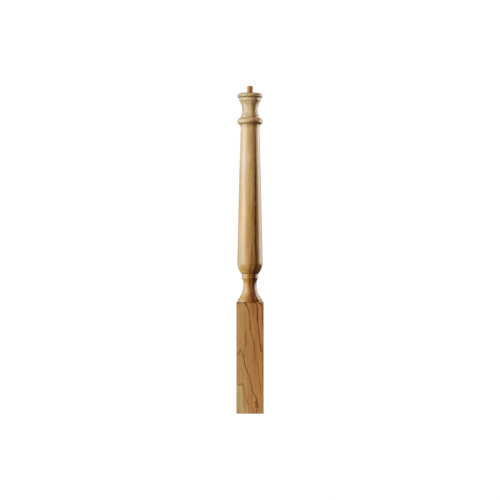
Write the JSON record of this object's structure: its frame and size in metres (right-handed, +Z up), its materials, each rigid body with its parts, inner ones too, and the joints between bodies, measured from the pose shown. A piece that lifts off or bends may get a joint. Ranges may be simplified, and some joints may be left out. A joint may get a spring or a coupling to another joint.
{
  "type": "newel post",
  "caption": "Turned wooden newel post: square block, hollow neck and collar, long tapered shaft, rounded ring, upper neck, rounded cap, and a round pin on top that enters a handrail fitting.",
  "frame": {"origin": "middle of the flat underside of the square block, on the floor", "axes": "+Z runs up the axis of the turning, +Y and +X are square to the faces of the block"},
  "size_m": [0.0888, 0.0888, 1.0668],
  "materials": {
    "maple": "clear satin finish on turned maple"
  },
  "bodies": {
    "root": {"newel_post": "maple"}
  },
  "joints": []
}
